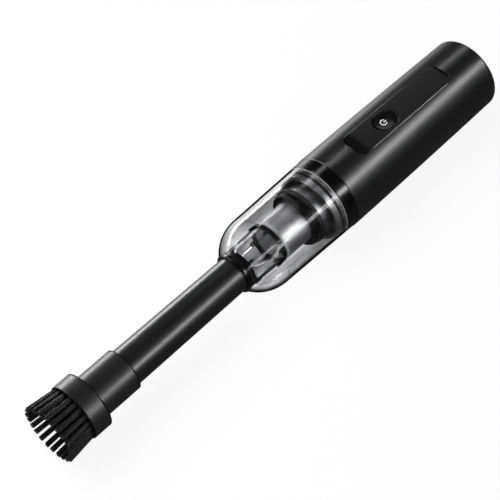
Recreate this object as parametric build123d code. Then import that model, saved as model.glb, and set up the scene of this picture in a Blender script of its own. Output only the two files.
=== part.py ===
"""Handheld vacuum cleaner with a clear dust cup, an extension tube and a dusting brush.

The machine lies on its side along X, tail towards +X, button up. The origin is
under the middle of its length, on the surface it rests on. Every turned piece is
drawn around the X axis and lifted by the axis height when it is written.
"""
import math
import os

from build123d import *

# Lengths along the axis, from the tail to the bristle tips
body_length = 164.0
ring_length = 10.0
cup_length = 89.6
tube_visible = 107.7
sleeve_visible = 32.2
collar_length = 14.0
bristle_reach = 23.0

# Clearances, and how far cutters run past a face or joined pieces into one another
loose_gap = 0.3
seat_gap = 0.15
slide_gap = 0.1
shaft_gap = 0.05
past = 1.0
bite = 0.5

# Main shell
shell_front_radius = 31.0
shell_taper = 1.15
shell_wall = 2.4
rest_pad_drop = 0.05
rest_pad_width = 8.0
rest_pad_length = 80.0
rest_pad_offset = 6.0
rest_pad_sink = 1.4
tail_round = 2.0
front_break = 0.4
recess_break = 0.2

# Control panel and its recess
panel_width = 22.4
panel_length = 104.8
panel_front_offset = 25.0
panel_corner = 6.5
panel_thickness = 1.6
recess_wall = 1.8
recess_depth = 9.0
ledge_width = 0.8
scoop_length = 11.4
scoop_depth = 5.0

# Power button, its well and the indicator
button_offset = 61.8
button_radius = 7.5
button_sink = 0.4
button_dish = 0.5
button_edge = 0.5
button_flange_radius = 8.4
button_flange_thickness = 1.0
button_travel = 1.2
well_length = 22.0
well_width = 17.6
well_shift = 1.8
well_depth = 2.0
well_rear_depth = 0.3
well_ramp_offset = 6.5
well_floor = 1.6
well_rim = 1.2
well_break = 0.25
stem_radius = 1.7
stem_entry = 0.6
switch_side = 6.0
switch_height = 3.5
switch_edge = 0.5
indicator_offset = 80.0
indicator_radius = 0.55
indicator_sink = 0.1
lens_foot_radius = 1.6
lamp_side = 3.2
lamp_height = 1.2

# Circuit board
board_front_offset = 47.0
board_length = 74.0
board_width = 18.0
board_thickness = 1.6
board_drop = 9.9
board_corner = 1.5
chip_height = 1.6
chip_sizes = [(7.0, 7.0), (10.0, 6.0), (5.0, 4.0), (8.0, 8.0)]
chip_places = [12.0, 31.0, 47.5, 59.0]
post_radius = 2.2
post_inset = 4.0
post_edge_inset = 3.0

# Screws, one size throughout
screw_radius = 1.0
screw_length = 6.0
screw_head_radius = 1.9
screw_head_height = 1.4
screw_head_edge = 0.5
screw_recess = 0.6
screw_cross_span = 2.5
screw_cross_width = 0.5

# Front ring, bulkhead and cup seat
ring_front_step = 0.55
ring_rear_step = 0.35
ring_edge = 0.3
bulkhead_overlap = 6.0
bulkhead_wall = 4.0
spigot_length = 10.0
spigot_wall = 2.2
socket_depth = 8.0
socket_wall = 1.6
air_hole_radius = 12.8
seal_cord = 1.1
seal_setback = 4.5

# Motor, fan and their supports
motor_radius = 14.0
motor_length = 36.0
motor_setback = 22.6
motor_boss_radius = 5.0
motor_boss_length = 2.0
motor_edge = 1.5
terminal_reach = 3.5
terminal_width = 2.8
terminal_thickness = 0.5
terminal_offset = 10.0
shaft_radius = 1.6
shaft_tail = 4.0
shaft_edge = 0.3
mount_thickness = 3.0
mount_slot_count = 10
mount_slot_width = 5.0
mount_slot_height = 3.5
mount_slot_inset = 4.6
motor_screw_circle = 9.0
impeller_rim_gap = 2.5
impeller_disc = 1.6
impeller_height = 9.0
impeller_hub_radius = 4.2
impeller_nose_setback = 2.0
impeller_hub_step = 1.0
impeller_eye_radius = 10.5
impeller_blades = 9
blade_thickness = 1.1
blade_sweep = 52.0
shroud_wall = 1.6
shroud_run = 1.2
shroud_edge = 1.5
snout_wall = 1.5
snout_setback = 1.0
damper_wall = 2.4
damper_length = 8.0
damper_setback = 13.8
cradle_wall = 2.0
cradle_arm_width = 5.0
cradle_arms = 4

# Battery pack
cell_radius = 9.15
cell_tail_space = 20.8
cell_edge = 0.8
cell_spacing = 19.4
cell_drop = 9.0
cell_front_offset = 78.0
cell_tip_radius = 3.0
cell_tip_height = 0.8
tray_end_wall = 2.0
tray_floor = 1.6
tray_height = 12.0
tray_width = 42.0
tray_foot = 4.0
tab_thickness = 0.3
tab_width = 8.0

# Tail cap and charging socket
cap_thickness = 2.6
vent_count = 20
vent_width = 2.0
vent_inner = 10.5
vent_outer = 21.0
cap_screw_count = 3
cap_screw_inset = 3.05
cap_boss_radius = 3.2
cap_boss_length = 12.0
socket_plug_width = 8.94
socket_plug_height = 3.26
socket_corner = 1.6
socket_metal = 0.35
socket_length = 7.4
socket_tongue_thickness = 0.7
socket_tongue_width = 6.6
socket_tongue_setback = 1.0
socket_back_wall = 1.0
socket_recess = 0.4
socket_board_width = 16.0
socket_board_length = 13.0
socket_board_thickness = 1.2
rail_length = 11.0
rail_lip = 1.2
rail_wall = 1.2
rail_hold = 1.0

# Clear cup
cup_step_down = 0.6
cup_taper = 1.3
cup_wall = 1.8
dome_length = 31.5
dome_offset = 28.5
cup_step = 0.3
cup_step_length = 1.0

# Neck ring and inlet duct
neck_flange_radius = 16.2
neck_flange_length = 2.0
neck_sleeve_radius = 15.0
neck_sleeve_length = 6.6
neck_round = 0.7
duct_length = 29.0
duct_wall = 1.6
duct_lip = 2.4
duct_lip_length = 2.0
duct_rear_radius = 15.8
duct_rib_count = 6
duct_rib_height = 1.0
duct_rib_thickness = 1.0
duct_ring_length = 3.0
duct_ring_wall = 1.2
clip_count = 6
clip_length = 3.2
clip_root = 2.0
clip_width = 1.8
clip_height = 1.4

# Filter
filter_gap = 0.9
mesh_radius = 16.6
mesh_wall = 0.5
mesh_length = 23.0
filter_cap_length = 2.4
filter_cap_edge = 0.6
filter_flange_radius = 22.2
filter_flange_length = 4.5
filter_flange_edge = 1.6
filter_seal_radius = 23.2
filter_seal_length = 4.0
filter_seal_edge = 0.8
filter_rear_radius = 20.8
filter_rear_wall = 1.8
filter_bars = 6
filter_bar_width = 2.4
filter_bar_height = 1.4
pleat_count = 28
pleat_outer = 13.6
pleat_inner = 9.6
pleat_bore = 7.6

# Extension tube
tube_rear_radius = 13.85
tube_front_radius = 14.35
tube_bore_radius = 12.0
tube_rear_entry = 8.3
tube_spigot_length = 22.0
tube_spigot_step = 0.15
tube_lead = 0.6

# Brush
sleeve_radius = 16.5
sleeve_mouth_radius = 12.5
sleeve_round = 1.2
collar_radius = 22.0
collar_wall = 1.2
collar_rear_wall = 2.2
collar_round = 1.2
collar_lip_round = 0.4
brush_hub_setback = 2.0
tuft_base_front = 4.0
tuft_slice = 3.0
tuft_count = 24
tuft_strands = 14
tuft_radius = 1.15
tuft_root_radius = 18.5
tuft_tip_radius = 22.2
tuft_spread = 1.15
strand_radius = 0.24
strand_sides = 4

# Stations along X
overall_length = (body_length + ring_length + cup_length + tube_visible
                  + sleeve_visible + collar_length + bristle_reach)
x_tail = overall_length / 2
x_shell_front = x_tail - body_length
x_ring_front = x_shell_front - ring_length
x_neck = x_ring_front - cup_length
x_sleeve_rear = x_neck - tube_visible
x_collar_rear = x_sleeve_rear - sleeve_visible
x_collar_front = x_collar_rear - collar_length
x_tips = x_collar_front - bristle_reach
x_panel_front = x_shell_front + panel_front_offset
x_panel_rear = x_panel_front + panel_length
x_panel_mid = (x_panel_front + x_panel_rear) / 2
x_button = x_shell_front + button_offset
x_well_ramp = x_button + well_ramp_offset
x_indicator = x_shell_front + indicator_offset
x_board_front = x_shell_front + board_front_offset
x_motor_front = x_shell_front + motor_setback
x_motor_rear = x_motor_front + motor_length
x_mount_front = x_motor_front - mount_thickness
x_cell_front = x_shell_front + cell_front_offset
x_cell_rear = x_tail - cell_tail_space
axis_height = shell_front_radius + rest_pad_drop


def shell_radius(x):
    """Outer radius of the main shell, which narrows towards the tail along a parabola."""
    share = (x - x_shell_front) / body_length
    return shell_front_radius - shell_taper * share ** 2


def shell_inside(x):
    """Inner radius of the main shell."""
    return shell_radius(x) - shell_wall


# Heights above the axis
panel_top = math.sqrt(shell_radius(x_panel_mid) ** 2 - (panel_width / 2) ** 2)
panel_bottom = panel_top - panel_thickness
recess_bottom = panel_top - recess_depth
board_top = panel_top - board_drop
board_bottom = board_top - board_thickness
well_bottom = panel_top - well_depth
well_underside = well_bottom - well_floor
charge_board_top = -socket_plug_height / 2
charge_board_bottom = charge_board_top - socket_board_thickness

# Radii and fits around the axis
shell_tail_radius = shell_front_radius - shell_taper
ring_front_radius = shell_front_radius - ring_front_step
ring_rear_radius = shell_front_radius - ring_rear_step
cup_rear_radius = shell_front_radius - cup_step_down
cup_front_radius = cup_rear_radius - cup_taper
mount_slot_outer = shell_front_radius - shell_wall - mount_slot_inset
mount_slot_inner = mount_slot_outer - mount_slot_height
impeller_radius = mount_slot_outer - impeller_rim_gap
cap_screw_circle = shell_tail_radius - shell_wall - cap_screw_inset
spigot_radius = cup_rear_radius - cup_wall - loose_gap - seal_cord / 2
ring_bore = spigot_radius + seat_gap
neck_bore = tube_rear_radius + slide_gap
filter_socket_bore = filter_rear_radius + slide_gap
x_filter_front = x_neck + neck_flange_length + neck_sleeve_length + duct_length + filter_gap
x_mesh_front = x_filter_front + filter_cap_length
x_flange_front = x_mesh_front + mesh_length
x_filter_seal = x_flange_front + filter_flange_length
x_dome = x_neck + dome_offset
x_duct_front = x_neck + neck_flange_length + neck_sleeve_length
x_duct_rear = x_duct_front + duct_length
x_spigot_front = x_ring_front - spigot_length
x_bulkhead_wall = x_shell_front - bulkhead_wall
x_socket_front = x_bulkhead_wall - socket_depth
x_filter_tail = x_bulkhead_wall - loose_gap
x_impeller_front = (x_mount_front - screw_head_height - 2 * shroud_run
                    - impeller_disc - impeller_height)
x_impeller_nose = x_impeller_front + impeller_nose_setback
x_damper_rear = x_motor_rear - damper_setback
x_damper_front = x_damper_rear - damper_length


def disc(x0, x1, radius):
    """Cylinder along X between two stations."""
    return Pos((x0 + x1) / 2, 0, 0) * Cylinder(radius, x1 - x0, rotation=(0, 90, 0))


def ring(x0, x1, outer, inner):
    """Round sleeve along X between two stations."""
    return disc(x0, x1, outer) - disc(x0 - past, x1 + past, inner)


def cone(x0, x1, radius0, radius1):
    """Solid with a straight taper along X."""
    return turned((x0, 0), (x0, radius0), (x1, radius1), (x1, 0))


def turned(*points):
    """Revolve an outline given as station and radius pairs around X."""
    return revolve(make_face(Polyline(*points, close=True)), Axis.X)


def block(x0, x1, y0, y1, z0, z1):
    """Rectangular block between corner values."""
    size = (x1 - x0, y1 - y0, z1 - z0)
    return Pos((x0 + x1) / 2, (y0 + y1) / 2, (z0 + z1) / 2) * Box(*size)


def around(shape, count, start=0.0):
    """Copies of a shape spread evenly around the X axis."""
    return [Rot(start + 360 * i / count, 0, 0) * shape for i in range(count)]


def prism(sketch, z0, z1):
    """Extrude a flat sketch upwards between two heights."""
    return extrude(Pos(0, 0, z0) * sketch, z1 - z0)


def side_profile(points, half_width):
    """Extrude an outline in the XZ plane equally to both sides."""
    outline = Polyline(*[(x, 0, z) for x, z in points], close=True)
    return extrude(make_face(outline), half_width, both=True)


def outer_edge(solid, station):
    """Largest circular edge of a turned solid at one station."""
    edges = [e for e in solid.edges().filter_by(GeomType.CIRCLE)
             if abs(e.center().X - station) < 0.01]
    return max(edges, key=lambda e: e.radius)


def panel_plan(margin):
    """Plan outline of the control panel, grown or shrunk by a margin."""
    outline = RectangleRounded(panel_length + 2 * margin, panel_width + 2 * margin,
                               panel_corner + margin)
    return Pos(x_panel_mid, 0) * outline


def shell_volume(inset):
    """Full volume inside the shell's outline, shrunk by an inset."""
    middle = (x_shell_front + x_tail) / 2
    crown = Bezier((x_shell_front, shell_front_radius - inset),
                   (middle, shell_front_radius - inset),
                   (x_tail, shell_tail_radius - inset))
    closing = Polyline(crown @ 1, (x_tail, 0), (x_shell_front, 0), crown @ 0)
    return revolve(make_face([crown, closing]), Axis.X)


def cap_screw_places():
    """Angles of the tail cap's screws."""
    return [60 + 360 * i / cap_screw_count for i in range(cap_screw_count)]


def make_body_shell():
    """Main shell with the panel recess, its ledge, the tail screw bosses and the rest pad."""
    outside = shell_volume(0)
    outside = fillet(outer_edge(outside, x_tail), tail_round)
    outside = chamfer(outer_edge(outside, x_shell_front), front_break)
    frame = prism(panel_plan(recess_wall), recess_bottom, shell_front_radius) & outside
    shell = outside - shell_volume(shell_wall) + frame
    boss_end = x_tail - cap_thickness
    boss = disc(boss_end - cap_boss_length, boss_end, cap_boss_radius)
    pilot = disc(boss_end - cap_boss_length - past, boss_end + past, screw_radius + shaft_gap)
    for angle in cap_screw_places():
        place = Rot(angle, 0, 0) * Pos(0, 0, cap_screw_circle)
        shell += (place * boss) & outside
        shell -= place * pilot
    shell -= prism(panel_plan(0), panel_bottom, shell_front_radius + past)
    shell -= prism(panel_plan(-ledge_width), recess_bottom - past, panel_bottom + past)
    scoop_end = x_panel_front + scoop_length + ledge_width
    scoop = block(x_panel_front - past, scoop_end, -panel_width, panel_width,
                  recess_bottom - past, panel_bottom + past)
    shell -= prism(panel_plan(0), recess_bottom - past, panel_bottom + past) & scoop
    shell = chamfer(recess_rim(shell), recess_break)
    pad_start = x_shell_front + rest_pad_offset
    half_pad = rest_pad_width / 2
    return shell + block(pad_start, pad_start + rest_pad_length, -half_pad, half_pad,
                         -axis_height, rest_pad_sink - shell_front_radius)


def recess_rim(shell):
    """Edges where the panel's recess breaks through the shell's outer surface."""
    rim = []
    for edge in shell.edges():
        point = edge @ 0.5
        off_axis = math.hypot(point.Y, point.Z)
        inside = x_panel_front - bite < point.X < x_panel_rear + bite
        above = point.Z > panel_bottom and abs(point.Y) < panel_width / 2 + bite
        if inside and above and abs(off_axis - shell_radius(point.X)) < shaft_gap:
            rim.append(edge)
    return rim


def panel_section():
    """Side outline of the panel: flat, then rolled down into the finger scoop."""
    roll = (scoop_length ** 2 + scoop_depth ** 2) / (2 * scoop_depth)
    x_roll = x_panel_front + scoop_length
    centre = panel_top - roll
    sweep = math.degrees(math.asin(scoop_length / roll))
    top = CenterArc((x_roll, centre), roll, 90, sweep)
    under = CenterArc((x_roll, centre), roll - panel_thickness, 90, sweep)
    front = Line(top @ 1, under @ 1)
    rear = Polyline(under @ 0, (x_panel_rear, panel_bottom), (x_panel_rear, panel_top), top @ 0)
    face = make_face([top, front, under, rear])
    return Plane.XZ.location * face


def well_plan(margin):
    """Oval outline of the button well, grown by a margin."""
    oval = Ellipse(well_length / 2 + margin, well_width / 2 + margin)
    return Pos(x_button + well_shift, 0) * oval


def make_control_panel():
    """Inlaid panel with the button well, the indicator hole and the board posts."""
    plate = extrude(panel_section(), panel_width, both=True)
    plate &= prism(panel_plan(-seat_gap), recess_bottom, shell_front_radius)
    plate += prism(well_plan(well_rim), well_underside, panel_top - panel_thickness / 2)
    x_start = x_button + well_shift - well_length / 2
    x_end = x_start + well_length
    well = side_profile([(x_start - past, panel_top + past), (x_start - past, well_bottom),
                         (x_well_ramp, well_bottom), (x_end, panel_top - well_rear_depth),
                         (x_end, panel_top + past)], well_width)
    plate -= well & prism(well_plan(0), well_bottom - past, panel_top + past)
    plate = chamfer(well_edges(plate), well_break)
    plate -= Pos(x_button, 0) * prism(Circle(button_radius + seat_gap),
                                      well_underside - past, panel_top + past)
    plate -= Pos(x_indicator, 0) * prism(Circle(indicator_radius + shaft_gap),
                                         panel_bottom - past, panel_top + past)
    for x, y in post_places():
        plate += Pos(x, y) * prism(Circle(post_radius), board_top, panel_bottom)
        plate -= Pos(x, y) * prism(Circle(screw_radius + shaft_gap),
                                   board_top - past, board_top + screw_length)
    return plate


def well_edges(plate):
    """Edges of the button well that lie in the panel's flat top."""
    flat = plate.edges().filter_by_position(Axis.Z, panel_top - shaft_gap, panel_top + shaft_gap)
    reach = well_length / 2 + shaft_gap
    middle = x_button + well_shift
    return flat.filter_by_position(Axis.X, middle - reach, middle + reach)


def post_places():
    """Plan places of the posts that carry the circuit board."""
    x0 = x_board_front + post_inset
    x1 = x_board_front + board_length - post_inset
    y = board_width / 2 - post_edge_inset
    return [(x0, -y), (x0, y), (x1, -y), (x1, y)]


def make_power_button():
    """Dished round button with a retaining flange and a stem for the switch."""
    top = panel_top - button_sink
    flange_top = well_underside - loose_gap
    flange_bottom = flange_top - button_flange_thickness
    button = prism(Circle(button_radius), flange_top, top)
    button = fillet(button.edges().group_by(Axis.Z)[-1], button_edge)
    dish_radius = (button_radius ** 2 + button_dish ** 2) / (2 * button_dish)
    button -= Pos(0, 0, top + dish_radius - button_dish) * Sphere(dish_radius)
    button += prism(Circle(button_flange_radius), flange_bottom, flange_top)
    stem_end = board_top + switch_height - stem_entry
    button += prism(Circle(stem_radius), stem_end, flange_bottom)
    return Pos(x_button, 0) * button


def make_tact_switch():
    """Push switch on the board with a hole for the button's stem."""
    half = switch_side / 2
    switch = block(-half, half, -half, half, board_top, board_top + switch_height)
    switch = chamfer(switch.edges().filter_by(Axis.Z), switch_edge)
    hole_bottom = board_top + switch_height - stem_entry - button_travel - loose_gap
    switch -= prism(Circle(stem_radius + slide_gap), hole_bottom,
                    board_top + switch_height + past)
    return Pos(x_button, 0) * switch


def make_indicator_lens():
    """Small light pipe from just above the lamp up to the panel's surface."""
    foot_top = panel_bottom - loose_gap
    lens = prism(Circle(lens_foot_radius), board_top + lamp_height + loose_gap, foot_top)
    lens += prism(Circle(indicator_radius), foot_top, panel_top - indicator_sink)
    return Pos(x_indicator, 0) * lens


def make_main_board():
    """Circuit board with its chips below and the indicator's lamp on top."""
    half = board_width / 2
    board = block(x_board_front, x_board_front + board_length, -half, half,
                  board_bottom, board_top)
    board = fillet(board.edges().filter_by(Axis.Z), board_corner)
    for x, y in post_places():
        board -= Pos(x, y) * prism(Circle(screw_radius + slide_gap), board_bottom - past,
                                   board_top + past)
    for place, (length, width) in zip(chip_places, chip_sizes):
        board += Pos(x_board_front + place, 0) * prism(
            Rectangle(length, width), board_bottom - chip_height, board_bottom)
    board += Pos(x_indicator, 0) * prism(Rectangle(lamp_side, lamp_side), board_top,
                                         board_top + lamp_height)
    return board


def make_screw(x, y, z, turn):
    """Pan-head screw whose head rests on a face, its shank along the turned axis."""
    shank = Cylinder(screw_radius, screw_length, align=(Align.CENTER, Align.CENTER, Align.MIN))
    head = Cylinder(screw_head_radius, screw_head_height,
                    align=(Align.CENTER, Align.CENTER, Align.MAX))
    head = fillet(head.edges().group_by(Axis.Z)[0], screw_head_edge)
    bar = Box(screw_cross_span, screw_cross_width, 2 * screw_recess)
    cross = bar + Rot(0, 0, 90) * bar
    head -= Pos(0, 0, -screw_head_height) * cross
    return Pos(x, y, z) * Rot(*turn) * (shank + head)


def make_screws():
    """All screws: four for the board, two for the motor, three for the tail cap."""
    screws = [make_screw(x, y, board_bottom, (0, 0, 0)) for x, y in post_places()]
    for place in motor_screw_places():
        screws.append(place * make_screw(x_mount_front, 0, 0, (0, 90, 0)))
    for angle in cap_screw_places():
        place = Rot(angle, 0, 0) * Pos(x_tail - screw_head_height, 0, cap_screw_circle)
        screws.append(place * make_screw(0, 0, 0, (0, -90, 0)))
    return screws


def make_front_ring():
    """Gloss trim ring between the cup and the shell."""
    trim = turned((x_ring_front, ring_bore), (x_ring_front, ring_front_radius),
                  (x_shell_front, ring_rear_radius), (x_shell_front, ring_bore))
    return chamfer([outer_edge(trim, x_ring_front), outer_edge(trim, x_shell_front)], ring_edge)


def make_front_bulkhead():
    """Moulded front of the machine: cup spigot, filter socket and air hole."""
    rear = x_shell_front + bulkhead_overlap
    foot = shell_inside(rear) - seat_gap
    hull = disc(x_spigot_front, x_shell_front, spigot_radius) + disc(x_shell_front, rear, foot)
    hull -= disc(x_spigot_front - past, x_bulkhead_wall, spigot_radius - spigot_wall)
    hull -= disc(x_shell_front, rear + past, foot - spigot_wall)
    hull += disc(x_socket_front, x_bulkhead_wall, filter_socket_bore + socket_wall)
    hull -= disc(x_socket_front - past, x_bulkhead_wall, filter_socket_bore)
    hull -= disc(x_bulkhead_wall - past, x_shell_front + past, air_hole_radius)
    groove = x_ring_front - seal_setback
    hull -= Pos(groove, 0, 0) * Rot(0, 90, 0) * Torus(spigot_radius, seal_cord)
    return hull


def make_cup_seal():
    """Rubber ring in the spigot's groove."""
    groove = x_ring_front - seal_setback
    cord = Torus(spigot_radius, seal_cord)
    keep = ring(groove - seal_cord, groove + seal_cord, cup_bore_at(groove) - shaft_gap,
                spigot_radius - seal_cord)
    return (Pos(groove, 0, 0) * Rot(0, 90, 0) * cord) & keep


def cup_radius(x):
    """Outer radius of the straight part of the cup."""
    share = (x - x_dome) / (x_ring_front - x_dome)
    return cup_front_radius + (cup_rear_radius - cup_front_radius) * share


def cup_bore_at(x):
    """Inner radius of the straight part of the cup."""
    return cup_radius(x) - cup_wall


def cup_volume(inset, length_inset):
    """Full volume of the cup's outline: a straight taper closed by an oval dome."""
    front = cup_front_radius - inset
    dome = EllipticalCenterArc((x_dome, 0), dome_length - length_inset, front, 90, arc_size=90)
    x_end = x_ring_front + (past if inset else 0)
    closing = Polyline(dome @ 1, (x_end, 0), (x_end, cup_radius(x_end) - inset), dome @ 0)
    return revolve(make_face([dome, closing]), Axis.X)


def make_dust_cup():
    """Clear cup with its dome cut off at the neck."""
    x_front = x_neck + neck_flange_length
    cup = cup_volume(0, 0) - cup_volume(cup_wall, cup_wall)
    cup -= disc(x_neck - dome_length, x_front, cup_rear_radius)
    cup -= disc(x_front - past, x_dome, neck_sleeve_radius + shaft_gap)
    bore = cup_front_radius - cup_wall
    step = ring(x_dome - cup_step_length, x_dome, bore + cup_wall / 2, bore - cup_step)
    return cup + (step & cup_volume(cup_wall / 2, cup_wall / 2))


def clips(x0, x1, inner, outer, start):
    """Small snap hooks spread around a ring."""
    half = clip_width / 2
    return around(block(x0, x1, -half, half, inner, outer), clip_count, start)


def make_neck_ring():
    """Dark ring in the cup's neck that holds the tube, with hooks over the duct."""
    flange_end = x_neck + neck_flange_length
    collar = disc(x_neck, flange_end, neck_flange_radius)
    collar = fillet(outer_edge(collar, x_neck), neck_round)
    collar += disc(flange_end, x_duct_front, neck_sleeve_radius)
    grip = neck_sleeve_radius + loose_gap
    outer = grip + clip_height
    feet = clips(x_duct_front - clip_root, x_duct_front, neck_sleeve_radius - bite, outer, 30)
    fingers = clips(x_duct_front, x_duct_front + clip_length, grip, outer, 30)
    for hook in feet + fingers:
        collar += hook
    return collar - disc(x_neck - past, x_duct_front, neck_bore)


def make_inlet_duct():
    """Clear duct that leads the dust into the cup, ribbed inside."""
    x_lip = x_duct_front + duct_lip_length
    front = neck_sleeve_radius
    duct = cone(x_duct_front, x_duct_rear, front, duct_rear_radius)
    duct -= cone(x_lip, x_duct_rear + past, front - duct_wall, duct_rear_radius - duct_wall)
    duct -= disc(x_duct_front - past, x_lip, front - duct_lip)
    rib = block(x_lip, x_duct_rear, -duct_rib_thickness / 2, duct_rib_thickness / 2,
                front - duct_wall - duct_rib_height, front - duct_wall / 2)
    for part in around(rib, duct_rib_count):
        duct += part
    return duct


def make_duct_ring():
    """Dark ring clipped on the rear end of the duct."""
    x0 = x_duct_rear - duct_ring_length
    outer = duct_rear_radius + duct_ring_wall
    bore = duct_rear_radius + slide_gap
    band = ring(x0, x_duct_rear, outer, bore)
    for hook in clips(x0 - clip_length, x0 + clip_root / 2, bore, bore + clip_height, 0):
        band += hook
    return band - disc(x0 - clip_length - past, x0 + clip_root, bore)


def make_filter_frame():
    """Filter frame: front cap, bars under the mesh, flange and rear sleeve."""
    inside = mesh_radius - mesh_wall - slide_gap
    frame = disc(x_filter_front, x_mesh_front, mesh_radius)
    frame = fillet(outer_edge(frame, x_filter_front), filter_cap_edge)
    bar = block(x_mesh_front - bite, x_flange_front + bite, -filter_bar_width / 2,
                filter_bar_width / 2, inside - filter_bar_height, inside)
    bar &= disc(x_filter_front, x_filter_seal, inside)
    for part in around(bar, filter_bars):
        frame += part
    flange = disc(x_flange_front, x_filter_seal, filter_flange_radius)
    flange = fillet(outer_edge(flange, x_flange_front), filter_flange_edge)
    sleeve = disc(x_filter_seal, x_filter_tail, filter_rear_radius)
    hollow = disc(x_flange_front + filter_rear_wall, x_filter_tail + past,
                  filter_rear_radius - filter_rear_wall)
    frame += flange + sleeve - hollow
    frame -= disc(x_flange_front - past, x_filter_seal, inside - filter_bar_height)
    return frame


def make_filter_mesh():
    """Fine steel mesh sleeve around the filter's bars."""
    return ring(x_mesh_front, x_flange_front, mesh_radius, mesh_radius - mesh_wall)


def make_filter_seal():
    """Rubber band behind the filter's flange."""
    x1 = x_filter_seal + filter_seal_length
    band = disc(x_filter_seal, x1, filter_seal_radius)
    band = fillet([outer_edge(band, x_filter_seal), outer_edge(band, x1)], filter_seal_edge)
    return band - disc(x_filter_seal - past, x1 + past, filter_rear_radius)


def make_filter_element():
    """Pleated paper element inside the frame."""
    step = math.pi / pleat_count
    points = [((pleat_outer if i % 2 else pleat_inner) * math.cos(i * step),
               (pleat_outer if i % 2 else pleat_inner) * math.sin(i * step))
              for i in range(2 * pleat_count)]
    star = make_face(Polyline(*points, close=True)) - Circle(pleat_bore)
    length = x_flange_front - x_mesh_front
    return Pos(x_mesh_front, 0, 0) * Rot(0, 90, 0) * extrude(star, length)


def make_extension_tube():
    """Long straight tube, plugged into the neck and into the brush."""
    rear = x_neck + tube_rear_entry
    front = x_sleeve_rear - tube_spigot_length
    spigot = tube_front_radius - tube_spigot_step
    body = turned((front, 0), (front, spigot - tube_lead), (front + tube_lead, spigot),
                  (x_sleeve_rear, spigot), (x_sleeve_rear, tube_front_radius),
                  (x_neck, tube_rear_radius), (rear - tube_lead, tube_rear_radius),
                  (rear, tube_rear_radius - tube_lead), (rear, 0))
    return body - disc(front - past, rear + past, tube_bore_radius)


def make_brush_sleeve():
    """Sleeve of the brush with the socket for the tube and the hub of the tuft ring."""
    x_stop = x_sleeve_rear - tube_spigot_length - loose_gap
    x_front = x_collar_front + brush_hub_setback
    socket = tube_front_radius - tube_spigot_step + slide_gap
    sleeve = disc(x_front, x_sleeve_rear, sleeve_radius)
    sleeve = fillet(outer_edge(sleeve, x_sleeve_rear), sleeve_round)
    sleeve -= disc(x_stop, x_sleeve_rear + past, socket)
    return sleeve - disc(x_front - past, x_sleeve_rear + past, sleeve_mouth_radius)


def make_brush_collar():
    """Collar around the tufts."""
    collar = disc(x_collar_front, x_collar_rear, collar_radius)
    collar = fillet(outer_edge(collar, x_collar_rear), collar_round)
    collar = fillet(outer_edge(collar, x_collar_front), collar_lip_round)
    collar -= disc(x_collar_front - past, x_collar_rear - collar_rear_wall,
                   collar_radius - collar_wall)
    return collar - disc(x_collar_front - past, x_collar_rear + past, sleeve_radius)


def make_tuft_ring():
    """Moulded ring that the tufts are set in."""
    x0 = x_collar_front + tuft_base_front + tuft_slice
    x1 = x_collar_rear - collar_rear_wall
    return ring(x0, x1, collar_radius - collar_wall, sleeve_radius)


def tuft_strand(angle, across, along):
    """One bristle, from inside the backing to its tip, at an offset from its tuft's centre."""
    x0 = x_collar_front + tuft_base_front + tuft_slice / 2
    root = Vector(x0, across, tuft_root_radius + along)
    tip = Vector(x_tips, across * tuft_spread, tuft_tip_radius + along * tuft_spread)
    path = tip - root
    section = RegularPolygon(strand_radius, strand_sides)
    face = Plane(origin=root, x_dir=(0, 1, 0), z_dir=(-1, 0, 0)) * section
    return Rot(angle, 0, 0) * extrude(face, amount=path.length, dir=path.normalized())


def make_bristles():
    """Ring of round tufts, every bristle fused into a slice of the backing."""
    x0 = x_collar_front + tuft_base_front
    backing = ring(x0, x0 + tuft_slice, collar_radius - collar_wall, sleeve_radius)
    golden = math.pi * (3 - math.sqrt(5))
    strands = []
    for i in range(tuft_count):
        for k in range(tuft_strands):
            reach = tuft_radius * math.sqrt((k + 0.5) / tuft_strands)
            turn = k * golden + i
            strands.append(tuft_strand(360 * i / tuft_count, reach * math.cos(turn),
                                       reach * math.sin(turn)))
    return backing.fuse(*strands)


def make_motor():
    """Motor can with its front boss, rear bearing boss and two terminals."""
    can = disc(x_motor_front, x_motor_rear, motor_radius)
    can = fillet([outer_edge(can, x_motor_front), outer_edge(can, x_motor_rear)], motor_edge)
    can += disc(x_motor_front - motor_boss_length, x_motor_front, motor_boss_radius)
    can += disc(x_motor_rear, x_motor_rear + motor_boss_length, motor_boss_radius)
    terminal = block(x_motor_rear - bite, x_motor_rear + terminal_reach, -terminal_width / 2,
                     terminal_width / 2, -terminal_thickness / 2, terminal_thickness / 2)
    for side in (-1, 1):
        can += Pos(0, side * terminal_offset, 0) * terminal
    for place in motor_screw_places():
        can -= place * disc(x_motor_front - past, x_motor_front + screw_length,
                            screw_radius + shaft_gap)
    reach = motor_boss_length + past
    return can - disc(x_motor_front - reach, x_motor_rear + reach, shaft_radius + shaft_gap)


def motor_screw_places():
    """Places of the two screws that hold the motor to its plate."""
    return [Rot(angle, 0, 0) * Pos(0, 0, motor_screw_circle) for angle in (90, -90)]


def make_motor_mount():
    """Plate behind the fan that carries the motor and lets the air past it."""
    plate = ring(x_mount_front, x_motor_front, shell_inside(x_motor_front) - seat_gap,
                 motor_boss_radius + slide_gap)
    slot = block(x_mount_front - past, x_motor_front + past, -mount_slot_width / 2,
                 mount_slot_width / 2, mount_slot_inner, mount_slot_outer)
    for part in around(slot, mount_slot_count):
        plate -= part
    hole = disc(x_mount_front - past, x_motor_front + past, screw_radius + slide_gap)
    for place in motor_screw_places():
        plate -= place * hole
    return plate


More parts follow.
